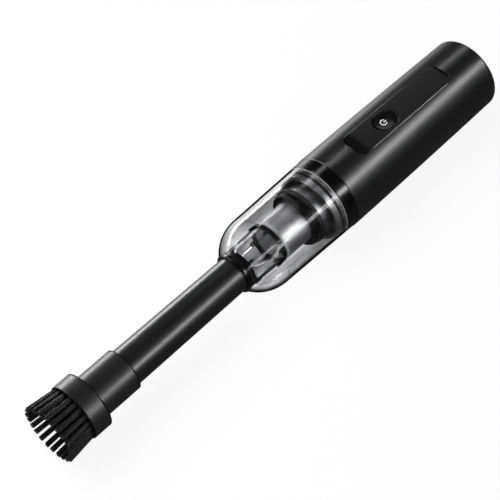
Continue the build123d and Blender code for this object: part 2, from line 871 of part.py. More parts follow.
def make_impeller():
    """Centrifugal impeller: back disc, hub and swept blades."""
    x_back = x_impeller_front + impeller_height
    x_end = x_back + impeller_disc
    wheel = disc(x_back, x_end, impeller_radius)
    wheel += disc(x_impeller_nose, x_end + impeller_hub_step, impeller_hub_radius)
    blade_arc = ThreePointArc(blade_point(0), blade_point(0.5), blade_point(1))
    blade = extrude(trace(blade_arc, blade_thickness), impeller_height + bite)
    blade = Pos(x_impeller_front, 0, 0) * Rot(0, 90, 0) * blade
    for part in around(blade, impeller_blades):
        wheel += part & disc(x_impeller_front, x_end, impeller_radius)
    return wheel - disc(x_impeller_front, x_end + impeller_hub_step + past,
                        shaft_radius + shaft_gap / 2)


def blade_point(share):
    """Point on the blade's centre line, from just outside the hub to the rim."""
    root = impeller_hub_radius + blade_thickness
    radius = root + (impeller_radius - root) * share
    angle = math.radians(blade_sweep * share)
    return (radius * math.cos(angle), radius * math.sin(angle))


def make_rotor_shaft():
    """Shaft through the motor, with the impeller at its front."""
    x_end = x_motor_rear + shaft_tail
    shaft = disc(x_impeller_nose, x_end, shaft_radius)
    return chamfer([outer_edge(shaft, x_impeller_nose), outer_edge(shaft, x_end)], shaft_edge)


def make_fan_shroud():
    """Cover around the impeller with its inlet snout."""
    x_inner = x_impeller_front - shroud_run
    x_wall = x_inner - shroud_wall
    cover = disc(x_wall, x_mount_front, mount_slot_outer + shroud_wall)
    cover = fillet(outer_edge(cover, x_wall), shroud_edge)
    cover -= disc(x_inner, x_mount_front + past, mount_slot_outer)
    cover += disc(x_bulkhead_wall + snout_setback, x_wall + bite,
                  impeller_eye_radius + snout_wall)
    return cover - disc(x_bulkhead_wall, x_inner + past, impeller_eye_radius)


def make_motor_damper():
    """Rubber ring around the motor's rear end."""
    return ring(x_damper_front, x_damper_rear, motor_radius + damper_wall, motor_radius)


def make_motor_cradle():
    """Spider that holds the damper in the shell."""
    bore = motor_radius + damper_wall
    outer = shell_inside(x_damper_rear) - seat_gap
    cradle = disc(x_damper_front, x_damper_rear, bore + cradle_wall)
    arm = block(x_damper_front, x_damper_rear, -cradle_arm_width / 2, cradle_arm_width / 2,
                0, outer + past)
    for part in around(arm, cradle_arms, 45):
        cradle += part & disc(x_damper_front, x_damper_rear, outer)
    return cradle - disc(x_damper_front - past, x_damper_rear + past, bore)


def cell_places():
    """Side and height places of the battery cells."""
    return [(-cell_spacing / 2, -cell_drop), (cell_spacing / 2, -cell_drop)]


def make_battery_cell(y, z):
    """Round lithium cell with its raised contact."""
    x1 = x_cell_rear - cell_tip_height
    cell = disc(x_cell_front, x1, cell_radius)
    cell = fillet([outer_edge(cell, x_cell_front), outer_edge(cell, x1)], cell_edge)
    cell += disc(x1, x_cell_rear, cell_tip_radius)
    return Pos(0, y, z) * cell


def make_battery_tray():
    """Trough on the shell's floor that the cells lie in."""
    x0 = x_cell_front - tab_thickness - 2 * slide_gap - tray_end_wall
    x1 = x_cell_rear + tab_thickness + 2 * slide_gap + tray_end_wall
    bottom = -cell_drop - cell_radius - tray_floor
    tray = block(x0, x1, -tray_width / 2, tray_width / 2, bottom, bottom + tray_height)
    pocket = disc(x0 + tray_end_wall, x1 - tray_end_wall, cell_radius + slide_gap)
    for y, z in cell_places():
        tray -= Pos(0, y, z) * pocket
    tab_half = cell_spacing / 2 + tab_width / 2 + slide_gap
    tray -= block(x0 + tray_end_wall, x1 - tray_end_wall, -tab_half, tab_half,
                  -cell_drop - tab_width / 2 - slide_gap, bottom + tray_height + past)
    for x in (x0, x1 - tray_foot):
        tray += block(x, x + tray_foot, -tray_width / 2, tray_width / 2,
                      -shell_front_radius, bottom)
    return tray & shell_volume(shell_wall + seat_gap)


def make_cell_tabs():
    """Nickel strips across both ends of the cells."""
    half = cell_spacing / 2 + tab_width / 2
    front = block(x_cell_front - slide_gap - tab_thickness, x_cell_front - slide_gap,
                  -half, half, -cell_drop - tab_width / 2, -cell_drop + tab_width / 2)
    rear = block(x_cell_rear + slide_gap, x_cell_rear + slide_gap + tab_thickness,
                 -half, half, -cell_drop - tab_width / 2, -cell_drop + tab_width / 2)
    return [front, rear]


def make_tail_cap():
    """Closing cap with the exhaust slots, screw seats and the charging opening."""
    x0 = x_tail - cap_thickness
    outer = shell_inside(x_tail) - seat_gap
    cap = disc(x0, x_tail, outer)
    slot = block(x0 - past, x_tail + past, -vent_width / 2, vent_width / 2,
                 vent_inner, vent_outer)
    for part in around(slot, vent_count):
        cap -= part
    y_outer = socket_board_width / 2 + slide_gap + rail_wall
    rail = block(x0 - rail_length, x0, y_outer - rail_wall - rail_hold, y_outer,
                 charge_board_bottom - rail_lip, charge_board_top + rail_lip)
    groove = block(x0 - rail_length - past, x0, 0, y_outer - rail_wall,
                   charge_board_bottom - slide_gap, charge_board_top + slide_gap)
    rail -= groove
    cap += rail
    cap += mirror(rail, Plane.XZ)
    opening = Pos(x_tail - cap_thickness / 2, 0, 0) * Box(cap_thickness + 2 * past,
                                                          socket_plug_width + 2 * slide_gap,
                                                          socket_plug_height + 2 * slide_gap)
    cap -= fillet(opening.edges().filter_by(Axis.X), socket_plug_height / 2)
    for angle in cap_screw_places():
        place = Rot(angle, 0, 0) * Pos(0, 0, cap_screw_circle)
        cap -= place * disc(x0 - past, x_tail + past, screw_radius + slide_gap)
        cap -= place * disc(x_tail - screw_head_height, x_tail + past,
                            screw_head_radius + slide_gap)
    return cap


def make_charge_socket():
    """Metal shell of the charging socket with its tongue."""
    x1 = x_tail - socket_recess
    x0 = x1 - socket_length
    shell = Pos((x0 + x1) / 2, 0, 0) * Box(socket_length, socket_plug_width, socket_plug_height)
    shell = fillet(shell.edges().filter_by(Axis.X), socket_corner)
    inner_width = socket_plug_width - 2 * socket_metal
    inner_height = socket_plug_height - 2 * socket_metal
    hollow = Pos((x0 + x1) / 2 + socket_back_wall, 0, 0) * Box(socket_length, inner_width,
                                                               inner_height)
    shell -= fillet(hollow.edges().filter_by(Axis.X), socket_corner - socket_metal)
    tongue = block(x0 + socket_back_wall / 2, x1 - socket_tongue_setback,
                   -socket_tongue_width / 2, socket_tongue_width / 2,
                   -socket_tongue_thickness / 2, socket_tongue_thickness / 2)
    return shell + tongue


def make_charge_board():
    """Small board that carries the charging socket."""
    x1 = x_tail - cap_thickness - loose_gap
    return block(x1 - socket_board_length, x1, -socket_board_width / 2, socket_board_width / 2,
                 charge_board_bottom, charge_board_top)


def write(name, shape):
    """Lift a piece to the axis height and write it as its own file."""
    pieces = shape if isinstance(shape, list) else [shape]
    solids = [s for piece in pieces for s in piece.solids()]
    solids = [Pos(0, 0, axis_height) * s for s in solids]
    result = solids[0] if len(solids) == 1 else Compound(children=solids)
    export_step(result, os.path.join("parts", name + ".step"))


def main():
    """Build every piece and write it to the parts folder."""
    os.makedirs("parts", exist_ok=True)
    write("body_shell", make_body_shell())
    write("control_panel", make_control_panel())
    write("power_button", make_power_button())
    write("tact_switch", make_tact_switch())
    write("indicator_lens", make_indicator_lens())
    write("main_board", make_main_board())
    write("screws", make_screws())
    write("front_ring", make_front_ring())
    write("front_bulkhead", make_front_bulkhead())
    write("cup_seal", make_cup_seal())
    write("motor_can", make_motor())
    write("motor_mount", make_motor_mount())
    write("motor_damper", make_motor_damper())
    write("motor_cradle", make_motor_cradle())
    write("fan_shroud", make_fan_shroud())
    write("impeller", make_impeller())
    write("rotor_shaft", make_rotor_shaft())
    for i, (y, z) in enumerate(cell_places(), 1):
        write(f"battery_cell_{i}", make_battery_cell(y, z))
    write("battery_tray", make_battery_tray())
    write("cell_tabs", make_cell_tabs())
    write("tail_cap", make_tail_cap())
    write("charge_socket", make_charge_socket())
    write("charge_board", make_charge_board())
    write("dust_cup", make_dust_cup())
    write("neck_ring", make_neck_ring())
    write("inlet_duct", make_inlet_duct())
    write("duct_ring", make_duct_ring())
    write("filter_frame", make_filter_frame())
    write("filter_mesh", make_filter_mesh())
    write("filter_seal", make_filter_seal())
    write("filter_element", make_filter_element())
    write("extension_tube", make_extension_tube())
    write("brush_sleeve", make_brush_sleeve())
    write("brush_collar", make_brush_collar())
    write("tuft_ring", make_tuft_ring())
    write("bristles", make_bristles())


if __name__ == "__main__":
    main()
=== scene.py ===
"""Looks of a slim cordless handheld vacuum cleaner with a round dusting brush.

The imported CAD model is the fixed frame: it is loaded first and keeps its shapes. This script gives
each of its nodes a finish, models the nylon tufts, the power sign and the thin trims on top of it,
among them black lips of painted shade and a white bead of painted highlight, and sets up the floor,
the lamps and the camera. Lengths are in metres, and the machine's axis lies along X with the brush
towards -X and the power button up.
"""

from __future__ import annotations

import logging
import math
import random
from collections.abc import Sequence
from dataclasses import dataclass
from enum import Enum

import bpy
from bpy.types import Material, Node, NodeTree, Object
from bpy.types import NodeSocket as Socket
from mathutils import Matrix, Vector


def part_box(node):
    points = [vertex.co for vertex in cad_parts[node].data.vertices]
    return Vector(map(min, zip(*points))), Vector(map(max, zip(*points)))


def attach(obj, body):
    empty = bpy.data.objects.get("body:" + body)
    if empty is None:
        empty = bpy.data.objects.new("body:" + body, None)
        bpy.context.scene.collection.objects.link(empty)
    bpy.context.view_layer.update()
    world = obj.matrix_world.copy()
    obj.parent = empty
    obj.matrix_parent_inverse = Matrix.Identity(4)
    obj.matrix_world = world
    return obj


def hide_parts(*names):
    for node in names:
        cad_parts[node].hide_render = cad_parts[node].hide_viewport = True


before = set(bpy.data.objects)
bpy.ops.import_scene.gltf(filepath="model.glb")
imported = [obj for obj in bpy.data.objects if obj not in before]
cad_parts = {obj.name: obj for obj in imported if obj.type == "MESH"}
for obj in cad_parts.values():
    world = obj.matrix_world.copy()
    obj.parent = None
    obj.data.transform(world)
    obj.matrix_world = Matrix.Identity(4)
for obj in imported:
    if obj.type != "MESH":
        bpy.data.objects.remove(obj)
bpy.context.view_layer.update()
AXIS_HEIGHT = sum(corner.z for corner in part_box("tuft_ring")) / 2

LOG = logging.getLogger("vacuum")
MM = 0.001

Colour = tuple[float, float, float]
Place = tuple[float, float, float]
Ramp = tuple[float, float, float, float]


class Streak(Enum):
    """Which way the fine lines of a drawn or turned surface run, as a stretch of its pattern."""

    ROUND_THE_AXIS = (1.0, 0.03, 1.0)
    ALONG_THE_AXIS = (0.03, 1.0, 1.0)


# ---------------- node trees

# Bands along a clear wall: place round it, half width at full strength, half width at its end.
SEAM_BAND = (-11.5 * MM, 1.0 * MM, 8.0 * MM)
# Painted shade: a dark band along the clear wall's upper far side, for the grey that reflections and
# the dark inside give there.
PAINTED_SHADE_BAND = (10.8 * MM, 4.0 * MM, 7.8 * MM)
# The band of painted shade comes up between these two places along the axis.
PAINTED_SHADE_BAND_START = (-32.0 * MM, -16.0 * MM)

# Most turns of a ray that still looks straight. One that ends in the surround counts one more.
AT_SURFACE, AT_SURROUND = 0.5, 1.5


class Sheet:
    """One node tree, with short ways to add nodes and wire them."""

    def __init__(self, tree: NodeTree) -> None:
        """Keeps the tree that the nodes are added to."""
        self.tree = tree

    def feed(self, node: Node, values: dict[str | int, object]) -> None:
        """Feeds a node's inputs.

        Args:
            node: the node.
            values: a number, a colour or the socket to wire in, by the input's name or place.
        """
        for key, value in values.items():
            target = node.inputs[key]
            if isinstance(value, Socket):
                self.tree.links.new(value, target)
            else:
                target.default_value = (*value, 1.0) if target.type == "RGBA" else value

    def node(self, kind: str, values: dict[str | int, object] | None = None,
             **settings: object) -> Node:
        """Adds a node.

        Args:
            kind: Blender's name of the node type.
            values: what its inputs are fed.
            settings: properties of the node itself.

        Returns:
            The new node.
        """
        made = self.tree.nodes.new(kind)
        for key, value in settings.items():
            setattr(made, key, value)
        self.feed(made, values or {})
        return made

    def calculate(self, operation: str, *values: Socket | float) -> Socket:
        """Adds a Math node on sockets and numbers and returns its result."""
        return self.node("ShaderNodeMath", dict(enumerate(values)), operation=operation).outputs[0]

    def plus_product(self, base: Socket | float, first: Socket, second: Socket | float) -> Socket:
        """Adds the product of two values to a base value and returns the sum."""
        return self.calculate("ADD", base, self.calculate("MULTIPLY", first, second))

    def vectors(self, operation: str, first: Socket, second: Socket | Place) -> Node:
        """Adds a Vector Math node on two vectors and returns it."""
        return self.node("ShaderNodeVectorMath", {0: first, 1: second}, operation=operation)

    def fit(self, source: Socket, low: float, high: float, to_low: float = 0.0,
            to_high: float = 1.0) -> Socket:
        """Adds a Map Range node from low..high to to_low..to_high and returns its result."""
        values = dict(enumerate((source, low, high, to_low, to_high)))
        return self.node("ShaderNodeMapRange", values).outputs[0]

    def noise(self, vector: Socket, scale: Socket | float, detail: float = 2.0,
              distortion: float = 0.0) -> Socket:
        """Adds a Noise Texture on a vector and returns its factor."""
        values = {"Vector": vector, "Scale": scale, "Detail": detail, "Distortion": distortion}
        return self.node("ShaderNodeTexNoise", values).outputs["Fac"]

    def stretch(self, vector: Socket, scale: Place) -> Socket:
        """Adds a Mapping node that scales a vector and returns the result."""
        return self.node("ShaderNodeMapping", {"Vector": vector, "Scale": scale}).outputs[0]

    def split(self, vector: Socket) -> Sequence[Socket]:
        """Adds a Separate XYZ node on a vector and returns its three outputs."""
        return self.node("ShaderNodeSeparateXYZ", {0: vector}).outputs

    def blend(self, factor: Socket, first: Socket | Colour, second: Socket | Colour) -> Socket:
        """Mixes two colours, the second one by the factor, and returns the mixed colour."""
        values = {0: factor, 6: first, 7: second}
        return self.node("ShaderNodeMix", values, data_type="RGBA").outputs[2]

    def mix_shaders(self, factor: Socket, first: Socket, second: Socket) -> Socket:
        """Mixes two shaders, the second one by the factor, and returns the mixed shader."""
        return self.node("ShaderNodeMixShader", {0: factor, 1: first, 2: second}).outputs[0]

    def straight_view(self, limit: float) -> Socket:
        """Finds what the camera looks at straight or through clear plastic only.

        Args:
            limit: AT_SURFACE or AT_SURROUND.

        Returns:
            A socket that is 1 there and 0 in mirror images and in diffuse light.
        """
        path = self.node("ShaderNodeLightPath").outputs
        turns = self.calculate("SUBTRACT", path["Ray Depth"], path["Transmission Depth"])
        return self.calculate("LESS_THAN", turns, limit)


class SharedEffects:
    """Node groups that several materials use, each built once under its method's name."""

    def fetch(self, name: str) -> NodeTree:
        """Fetches a group, built at its first use.

        Args:
            name: the group's name.

        Returns:
            The group.
        """
        if name not in bpy.data.node_groups:
            getattr(self, name)()
        return bpy.data.node_groups[name]

    @staticmethod
    def start(name: str, inputs: dict[str, str],
              output: dict[str, str]) -> tuple[Sheet, dict[str, Socket], Node]:
        """Starts a group that reads a vector.

        Args:
            name: the group's name.
            inputs: names of its other inputs and their types, Float, Color or Vector.
            output: the same for the one that it puts out.

        Returns:
            Its sheet, the inputs' sockets by name and the node that puts out.
        """
        tree = bpy.data.node_groups.new(name, "ShaderNodeTree")
        inputs = {"Vector": "Vector", **inputs}
        for way, sockets in (("INPUT", inputs), ("OUTPUT", output)):
            for socket, kind in sockets.items():
                tree.interface.new_socket(socket, in_out=way, socket_type=f"NodeSocket{kind}")
        sheet = Sheet(tree)
        read = sheet.node("NodeGroupInput").outputs
        return sheet, {key: read[key] for key in inputs}, sheet.node("NodeGroupOutput")

    def moulded_grain(self) -> None:
        """Fine spark-eroded grain of a moulded plastic face, with the mould's faint ripple."""
        sheet, read, out = self.start("moulded_grain", {"Grain Size": "Float"},
                                      {"Height": "Float"})
        per_metre = sheet.calculate("POWER", read["Grain Size"], -1.0)
        fine = sheet.noise(read["Vector"], per_metre, 3.0)
        ripple = sheet.noise(read["Vector"], 90.0, 1.0)
        sheet.feed(out, {"Height": sheet.plus_product(fine, ripple, 0.35)})

    def handling_marks(self) -> None:
        """Roughness that wanders where hands and cloths have polished or dulled the surface."""
        sheet, read, out = self.start("handling_marks", {"Roughness": "Float", "Spread": "Float"},
                                      {"Roughness": "Float"})
        smudge = sheet.noise(read["Vector"], 28.0, 4.0, 0.6)
        wipe = sheet.noise(sheet.stretch(read["Vector"], (25.0, 160.0, 160.0)), 3.0, 3.0)
        centred = sheet.calculate("SUBTRACT", sheet.plus_product(smudge, wipe, 0.6), 0.8)
        wandering = sheet.plus_product(read["Roughness"], centred, read["Spread"])
        sheet.feed(out, {"Roughness": wandering})

    def tone_drift(self) -> None:
        """A tint that drifts a little lighter and darker over the surface."""
        sheet, read, out = self.start("tone_drift", {"Tint": "Color", "Drift": "Float"},
                                      {"Color": "Color"})
        cloud = sheet.noise(read["Vector"], 19.0, 4.0)
        fleck = sheet.noise(read["Vector"], 900.0, 1.0)
        centred = sheet.calculate("SUBTRACT", sheet.plus_product(cloud, fleck, 0.5), 0.75)
        gain = sheet.plus_product(1.0, centred, read["Drift"])
        scaled = sheet.node("ShaderNodeVectorMath", {0: read["Tint"], "Scale": gain},
                            operation="SCALE")
        sheet.feed(out, {"Color": scaled.outputs[0]})

    def around_axis(self) -> None:
        """Coordinates wrapped round the machine's axis: along it, round it and out from it."""
        sheet, read, out = self.start("around_axis", {"Axis Height": "Float"},
                                      {"Wrapped": "Vector"})
        x, y, z = sheet.split(read["Vector"])
        up = sheet.calculate("SUBTRACT", z, read["Axis Height"])
        angle = sheet.calculate("ARCTAN2", y, up)
        square = sheet.plus_product(sheet.calculate("MULTIPLY", y, y), up, up)
        radius = sheet.calculate("SQRT", square)
        arc = sheet.calculate("MULTIPLY", angle, radius)
        joined = sheet.node("ShaderNodeCombineXYZ", {0: x, 1: arc, 2: radius})
        sheet.feed(out, {"Wrapped": joined.outputs[0]})

    def flow_marks_and_painted_shade(self) -> None:
        """Soft streaks along a clear wall, with its parting seam and one broad band of painted
        shade.
        """
        sheet, read, out = self.start("flow_marks_and_painted_shade", {"Depth": "Float"}, {"Mask": "Float"})
        along, arc, _ = sheet.split(read["Vector"])
        broad = sheet.noise(sheet.stretch(read["Vector"], (14.0, 85.0, 40.0)), 1.0, 2.0, 0.4)
        mask = sheet.fit(broad, 0.38, 0.66)
        for (middle, full, end), strength in (
                (SEAM_BAND, sheet.fit(broad, 0.3, 0.6, 0.6)),
                (PAINTED_SHADE_BAND, sheet.fit(along, *PAINTED_SHADE_BAND_START))):
            off = sheet.calculate("ABSOLUTE", sheet.calculate("SUBTRACT", arc, middle))
            band = sheet.calculate("MULTIPLY", sheet.fit(off, full, end, 1.0, 0.0), strength)
            mask = sheet.calculate("MAXIMUM", mask, band)
        sheet.feed(out, {"Mask": sheet.calculate("MULTIPLY", mask, read["Depth"])})

    def drawn_lines(self) -> None:
        """Fine parallel lines left by turning, drawing or extruding."""
        sheet, read, out = self.start("drawn_lines", {"Stretch": "Vector", "Pitch": "Float"},
                                      {"Lines": "Float"})
        stretched = sheet.vectors("MULTIPLY", read["Vector"], read["Stretch"])
        fine = sheet.vectors("DIVIDE", stretched.outputs[0], read["Pitch"])
        sheet.feed(out, {"Lines": sheet.noise(fine.outputs[0], 1.0, 3.0)})


EFFECTS = SharedEffects()


def spaced(values: dict[str, object]) -> dict[str, object]:
    """Writes a space for each _ in the names of a node's inputs."""
    return {key.replace("_", " "): value for key, value in values.items()}


class Surface(Sheet):
    """The node tree of one material, with its shader and its Object coordinates."""

    def __init__(self, name: str) -> None:
        """Starts the material.

        Args:
            name: its name.
        """
        self.material = bpy.data.materials.new(name)
        self.material.use_nodes = True
        super().__init__(self.material.node_tree)
        self.shader = self.tree.nodes["Principled BSDF"]
        self.out = self.tree.nodes["Material Output"]
        self.where = self.node("ShaderNodeTexCoord").outputs["Object"]

    def shade(self, **values: object) -> None:
        """Feeds the shader's inputs, written with _ for a space."""
        self.feed(self.shader, spaced(values))

    def effect(self, name: str, vector: Socket | None = None, **values: object) -> Socket:
        """Places a shared effect, on the Object coordinates if no vector is given."""
        inputs = {"Vector": vector or self.where, **spaced(values)}
        return self.node("ShaderNodeGroup", inputs, node_tree=EFFECTS.fetch(name)).outputs[0]

    def tone(self, tint: Colour, drift: float = 0.3) -> Socket:
        """Returns a tint that drifts over the surface."""
        return self.effect("tone_drift", Tint=tint, Drift=drift)

    def roughen(self, roughness: float, spread: float) -> None:
        """Gives the shader a roughness that wanders by handling."""
        marks = self.effect("handling_marks", Roughness=roughness, Spread=spread)
        self.shade(Roughness=marks)

    def emboss(self, height: Socket, depth: float) -> Node:
        """Feeds a height through a Bump node into the shader's normal.

        Args:
            height: what the bump reads.
            depth: how far a height of 1 stands out.

        Returns:
            The Bump node.
        """
        bump = self.node("ShaderNodeBump", {"Distance": depth, "Strength": 1.0, "Height": height})
        self.shade(Normal=bump.outputs[0])
        return bump


# ---------------- finishes


@dataclass(frozen=True)
class Finish:
    """A named finish. Each kind of finish fills its material in its own way."""

    name: str

    def build(self) -> Material:
        """Builds the finish.

        Returns:
            Its material.
        """
        surface = Surface(self.name)
        self.fill(surface)
        return surface.material

    def fill(self, surface: Surface) -> None:
        """Wires the nodes of the finish into its material."""
        raise NotImplementedError


@dataclass(frozen=True)
class MouldedPlastic(Finish):
    """Opaque moulded plastic, from fine matt grain to polished gloss."""

    tint: Colour
    roughness: float
    grain_size: float = 0.35 * MM
    grain_depth: float = 0.004 * MM
    drift: float = 0.25
    marks: float = 0.06
    specular: float = 0.5
    coat: float = 0.0
    coat_roughness: float = 0.03
    metallic: float = 0.0
    glow: float = 0.0
    edge_round: float = 0.0

    def fill(self, surface: Surface) -> None:
        """Wires tone, handling marks and grain, and rounds the edges where that is asked for.

        Args:
            surface: the material's nodes.
        """
        grain = surface.effect("moulded_grain", Grain_Size=self.grain_size)
        bump = surface.emboss(grain, self.grain_depth)
        if self.edge_round:
            rounded = surface.node("ShaderNodeBevel", {"Radius": self.edge_round}, samples=6)
            surface.feed(bump, {"Normal": rounded.outputs[0]})
            surface.shade(Coat_Normal=rounded.outputs[0])
        surface.roughen(self.roughness, self.marks)
        surface.shade(Base_Color=surface.tone(self.tint, self.drift),
                      Specular_IOR_Level=self.specular, Metallic=self.metallic,
                      Emission_Strength=self.glow, Coat_Weight=self.coat,
                      Coat_Roughness=self.coat_roughness)


@dataclass(frozen=True)
class ClearPlastic(Finish):
    """Clear moulded plastic that lets lamps through, with painted shade where its wall slants."""

    tint: Colour
    roughness: float
    murk: float
    let_through: float
    mirror: float = 1.0
    marks_and_shade: float = 0.85
    mark_and_shade_darkness: float = 0.32
    marks: float = 0.02
    drift: float = 0.12
    index: float = 1.5
    ripple_depth: float = 0.02 * MM
    # Where the painted edge shade starts and where it is full, outside and inside, by Layer Weight's
    # facing.
    outer_edge: tuple[float, float] = (0.69, 0.75)
    inner_edge: tuple[float, float] = (0.80, 0.86)
    edge_shade_tint: Colour = (0.003, 0.003, 0.003)
    haze_tint: Colour = (0.35, 0.35, 0.37)

    def fill(self, surface: Surface) -> None:
        """Wires the clear wall, its painted black edge shade, its shadow and the haze inside it.

        Args:
            surface: the material's nodes.
        """
        wrapped = surface.effect("around_axis", Axis_Height=AXIS_HEIGHT)
        marks_and_shade = surface.effect("flow_marks_and_painted_shade", wrapped, Depth=self.marks_and_shade)
        mark_and_shade_tint = tuple(self.mark_and_shade_darkness * part for part in self.tint)
        surface.roughen(self.roughness, self.marks)
        surface.emboss(surface.noise(surface.where, 60.0, 1.0), self.ripple_depth)
        # The mask darkens the tint with random streaks and with the band of painted shade.
        surface.shade(Base_Color=surface.blend(marks_and_shade, surface.tone(self.tint, self.drift), mark_and_shade_tint),
                      Transmission_Weight=1.0, IOR=self.index, Specular_Tint=(self.mirror,) * 3)
        # Painted shade: a black diffuse layer on the slanting edges stands in for the dark edge of
        # the refracting wall.
        rim = surface.node("ShaderNodeBsdfDiffuse", {"Color": self.edge_shade_tint}).outputs[0]
        rimmed = surface.mix_shaders(self.painted_edge_shade_mask(surface), surface.shader.outputs[0], rim)
        through = surface.node("ShaderNodeBsdfTransparent", {"Color": (self.let_through,) * 3})
        in_shadow = surface.node("ShaderNodeLightPath").outputs["Is Shadow Ray"]
        wall = surface.mix_shaders(in_shadow, rimmed, through.outputs[0])
        haze = surface.node("ShaderNodeVolumeAbsorption",
                            {"Color": self.haze_tint, "Density": self.murk})
        surface.feed(surface.out, {"Surface": wall, "Volume": haze.outputs[0]})

    def painted_edge_shade_mask(self, surface: Surface) -> Socket:
        """Marks the slanting edges, where painted shade draws the wall's edge as a dark line.

        Args:
            surface: the material's nodes.

        Returns:
            A mask that is 1 on the edges, wider outside than on the wall's inside.
        """
        off_axis = surface.vectors("SUBTRACT", surface.where, (0.0, 0.0, AXIS_HEIGHT))
        across = surface.vectors("MULTIPLY", off_axis.outputs[0], (0.0, 1.0, 1.0))
        normal = surface.node("ShaderNodeNewGeometry").outputs["Normal"]
        facing_out = surface.vectors("DOT_PRODUCT", across.outputs[0], normal).outputs["Value"]
        is_outside = surface.calculate("GREATER_THAN", facing_out, 0.0)
        slant = surface.node("ShaderNodeLayerWeight", {"Blend": 0.5}).outputs["Facing"]
        outside = surface.calculate("MULTIPLY", surface.fit(slant, *self.outer_edge), is_outside)
        return surface.calculate("MAXIMUM", surface.fit(slant, *self.inner_edge), outside)


@dataclass(frozen=True)
class DrawnMetal(Finish):
    """Metal with the fine lines of its turning or drawing, in places pierced, bare or black."""

    tint: Colour
    roughness: float
    streak: Streak
    pitch: float = 0.25 * MM
    groove: float = 0.72
    depth: float = 0.006 * MM
    hole_pitch: float = 0.0
    hole_depth: float = 4.0
    hole_shade_tint: Colour = (0.01, 0.01, 0.01)
    bare_before: float | None = None
    bare_tint: Colour = (0.5, 0.5, 0.5)
    black_band: tuple[float, float] | None = None
    black_tint: Colour = (0.03, 0.03, 0.03)

    def fill(self, surface: Surface) -> None:
        """Wires the drawn lines and whatever else the metal has.

        Args:
            surface: the material's nodes.
        """
        wrapped = surface.effect("around_axis", Axis_Height=AXIS_HEIGHT)
        height = surface.effect("drawn_lines", wrapped, Stretch=self.streak.value,
                                Pitch=self.pitch)
        dark = tuple(self.groove * part for part in self.tint)
        colour = surface.blend(surface.fit(height, 0.3, 0.75), dark, surface.tone(self.tint))
        surface.shade(Metallic=1.0)
        if self.hole_pitch:
            # Painted shade: each hole is a dark dot in the colour, for the shade inside the opening.
            values = {"Vector": wrapped, "Scale": 1.0 / self.hole_pitch, "Randomness": 0.0}
            dots = surface.node("ShaderNodeTexVoronoi", values, voronoi_dimensions="2D")
            hole = surface.fit(dots.outputs["Distance"], 0.22, 0.34, 1.0, 0.0)
            colour = surface.blend(hole, colour, self.hole_shade_tint)
            height = surface.plus_product(height, hole, -self.hole_depth)
        if self.bare_before is not None:
            x = surface.split(surface.where)[0]
            bare = surface.calculate("LESS_THAN", x, self.bare_before)
            colour = surface.blend(bare, colour, self.bare_tint)
            surface.shade(Metallic=surface.fit(bare, 0.0, 1.0, 1.0, 0.0))
        if self.black_band:
            x = surface.split(surface.where)[0]
            behind = surface.calculate("GREATER_THAN", x, self.black_band[0])
            before = surface.calculate("LESS_THAN", x, self.black_band[1])
            band = surface.calculate("MULTIPLY", behind, before)
            colour = surface.blend(band, colour, self.black_tint)
        surface.roughen(self.roughness, spread=0.08)
        surface.shade(Base_Color=colour)
        surface.emboss(height, self.depth)


@dataclass(frozen=True)
class NylonFilament(Finish):
    """Black nylon bristle, with drawn streaks that catch the light along its length."""

    tint: Colour
    streak_tint: Colour
    roughness: float
    specular: float = 0.28

    def fill(self, surface: Surface) -> None:
        """Wires the streaks and the handling marks.

        Args:
            surface: the material's nodes.
        """
        lines = surface.noise(surface.stretch(surface.where, (25.0, 900.0, 900.0)), 1.0, 1.0)
        streaks = surface.fit(lines, 0.45, 0.75)
        surface.roughen(self.roughness, spread=0.15)
        surface.shade(Base_Color=surface.blend(streaks, self.tint, self.streak_tint),
                      Specular_IOR_Level=self.specular)


@dataclass(frozen=True)
class PleatedPaper(Finish):
    """White filter paper with fibres and the dust that it has caught between its pleats."""

    tint: Colour
    dust: Colour

    def fill(self, surface: Surface) -> None:
        """Wires the fibres and the dust.

        Args:
            surface: the material's nodes.
        """
        fibre = surface.noise(surface.where, 2200.0, 5.0, 1.5)
        caught = surface.fit(surface.noise(surface.where, 120.0, 4.0), 0.45, 0.8, 0.0, 0.6)
        surface.shade(Base_Color=surface.blend(caught, self.tint, self.dust),
                      Roughness=surface.fit(fibre, 0.0, 1.0, 0.75))
        surface.emboss(fibre, 0.05 * MM)


@dataclass(frozen=True)
class BoardLaminate(Finish):
    """Circuit board under its green mask, with the copper runs showing through."""

    mask: Colour
    copper: Colour

    def fill(self, surface: Surface) -> None:
        """Wires the copper runs under the mask.

        Args:
            surface: the material's nodes.
        """
        values = {"Vector": surface.where, "Scale": 260.0, "Mortar Size": 0.12,
                  "Brick Width": 0.9, "Row Height": 0.3, "Color1": (0.0, 0.0, 0.0),
                  "Color2": (0.0, 0.0, 0.0), "Mortar": (1.0, 1.0, 1.0)}
        runs = surface.node("ShaderNodeTexBrick", values).outputs["Fac"]
        surface.roughen(0.35, spread=0.1)
        surface.shade(Base_Color=surface.blend(runs, surface.tone(self.mask), self.copper))
        surface.emboss(runs, 0.03 * MM)


# ---------------- modelling by operators


def select_only(*pieces: Object) -> None:
    """Leaves edit mode and selects the given pieces only, with the first of them active.

    Args:
        pieces: what is to be selected. With none, everything is deselected.
    """
    if bpy.context.object and bpy.context.object.mode != "OBJECT":
        bpy.ops.object.mode_set(mode="OBJECT")
    bpy.ops.object.select_all(action="DESELECT")
    for piece in pieces:
        piece.select_set(True)
    if pieces:
        bpy.context.view_layer.objects.active = pieces[0]


def settle(piece: Object, name: str) -> Object:
    """Puts a finished piece's place into its mesh and names both.

    Args:
        piece: the modelled object.
        name: its name.

    Returns:
        The same object, active, at the origin, unturned and unscaled.
    """
    select_only(piece)
    bpy.ops.object.transform_apply(location=True, rotation=True, scale=True)
    piece.name = name
    piece.data.name = name
    return piece


